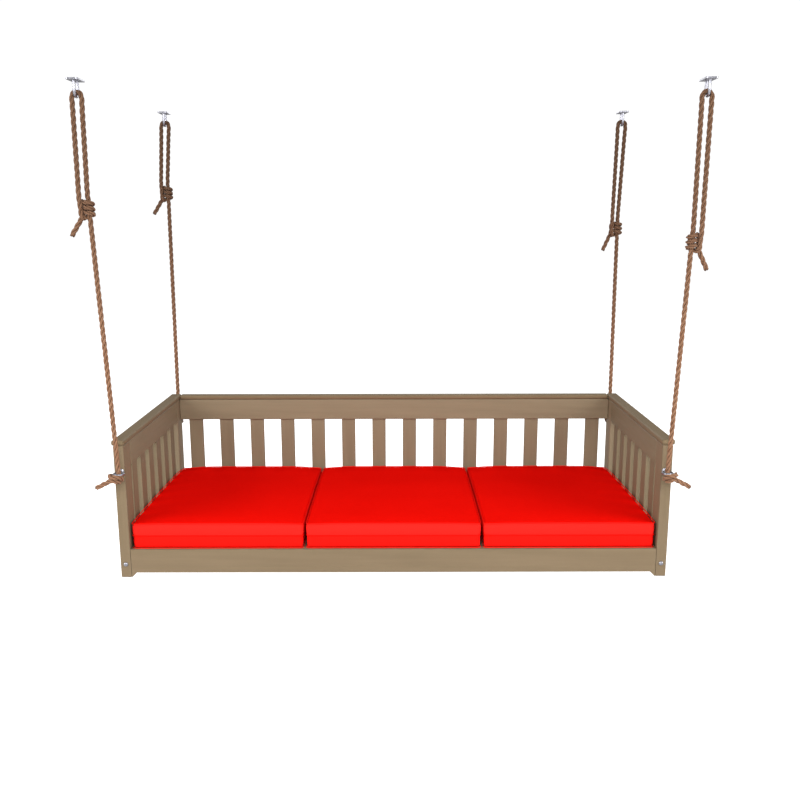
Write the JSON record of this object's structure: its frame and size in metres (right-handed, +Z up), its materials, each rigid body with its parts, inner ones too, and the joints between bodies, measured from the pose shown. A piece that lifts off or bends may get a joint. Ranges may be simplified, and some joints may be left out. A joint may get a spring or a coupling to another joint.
{
  "type": "porch swing",
  "caption": "Hanging daybed porch swing: painted slatted wooden frame with arms and back, box seat cushions and knotted rope hangers on ceiling hooks.",
  "frame": {"origin": "middle of the four hook plates, in the ceiling plane that their top faces touch", "axes": "+X along the seat's length, the open front faces -Y, +Z up"},
  "size_m": [2.1815, 1.148, 1.715],
  "materials": {
    "painted_wood": "satin taupe paint over straight-grained boards",
    "deck_wood": "matt taupe paint, rougher under the cushions",
    "cushion_fabric": "woven outdoor canvas, matt",
    "zinc_plate": "bright zinc plate",
    "rope_fibre": "three-strand laid manila-look rope, matt"
  },
  "bodies": {
    "hooks": {"ceiling_hook_front_left": "zinc_plate", "ceiling_hook_front_right": "zinc_plate", "ceiling_hook_rear_left": "zinc_plate", "ceiling_hook_rear_right": "zinc_plate"},
    "front_ropes": {"rope_front_left": "rope_fibre", "rope_front_right": "rope_fibre"},
    "seat": {"post_front_left": "painted_wood", "post_front_right": "painted_wood", "post_rear_left": "painted_wood", "post_rear_right": "painted_wood", "arm_cap_left": "painted_wood", "arm_cap_right": "painted_wood", "back_cap": "painted_wood", "arm_top_rail_left": "painted_wood", "arm_top_rail_right": "painted_wood", "back_top_rail": "painted_wood", "rear_rail": "painted_wood", "front_rail": "painted_wood", "arm_panel_left": "painted_wood", "arm_panel_right": "painted_wood", "back_slat_01": "painted_wood", "back_slat_02": "painted_wood", "back_slat_03": "painted_wood", "back_slat_04": "painted_wood", "back_slat_05": "painted_wood", "back_slat_06": "painted_wood", "back_slat_07": "painted_wood", "back_slat_08": "painted_wood", "back_slat_09": "painted_wood", "back_slat_10": "painted_wood", "back_slat_11": "painted_wood", "back_slat_12": "painted_wood", "back_slat_13": "painted_wood", "back_slat_14": "painted_wood", "deck_cleat_left": "deck_wood", "deck_cleat_right": "deck_wood", "joist_left": "deck_wood", "joist_right": "deck_wood", "deck_board_1": "deck_wood", "deck_board_2": "deck_wood", "deck_board_3": "deck_wood", "deck_board_4": "deck_wood", "deck_board_5": "deck_wood", "deck_board_6": "deck_wood", "eye_screw_front_left": "zinc_plate", "eye_screw_front_right": "zinc_plate", "eye_screw_rear_left": "zinc_plate", "eye_screw_rear_right": "zinc_plate", "carriage_bolt_left": "zinc_plate", "carriage_bolt_right": "zinc_plate", "end_knot_front_left": "rope_fibre", "end_knot_front_right": "rope_fibre", "end_knot_rear_left": "rope_fibre", "end_knot_rear_right": "rope_fibre"},
    "rear_ropes": {"rope_rear_left": "rope_fibre", "rope_rear_right": "rope_fibre"},
    "left_cushion": {"cushion_left": "cushion_fabric"},
    "middle_cushion": {"cushion_middle": "cushion_fabric"},
    "right_cushion": {"cushion_right": "cushion_fabric"}
  },
  "joints": [
    {"name": "swing", "type": "hinge", "parent": "hooks", "child": "front_ropes", "pos_m": [0, -0.53, -0.0402], "axis": [1, 0, 0], "range_deg": [-10, 10]},
    {"name": "seat_level", "type": "hinge", "parent": "front_ropes", "child": "seat", "pos_m": [0, -0.53, -1.317], "axis": [1, 0, 0], "range_deg": [-10, 10]},
    {"name": "rear_rope_follow", "type": "hinge", "parent": "seat", "child": "rear_ropes", "pos_m": [0, 0.53, -1.317], "axis": [1, 0, 0], "range_deg": [-10, 10]},
    {"name": "lift_left_cushion", "type": "slide", "parent": "seat", "child": "left_cushion", "axis": [0, 0, 1], "range_m": [0, 0.25]},
    {"name": "lift_middle_cushion", "type": "slide", "parent": "seat", "child": "middle_cushion", "axis": [0, 0, 1], "range_m": [0, 0.25]},
    {"name": "lift_right_cushion", "type": "slide", "parent": "seat", "child": "right_cushion", "axis": [0, 0, 1], "range_m": [0, 0.25]}
  ],
  "couplings": [
    {"joint": "seat_level", "follows": "swing", "ratio": -1},
    {"joint": "rear_rope_follow", "follows": "swing", "ratio": 1}
  ]
}
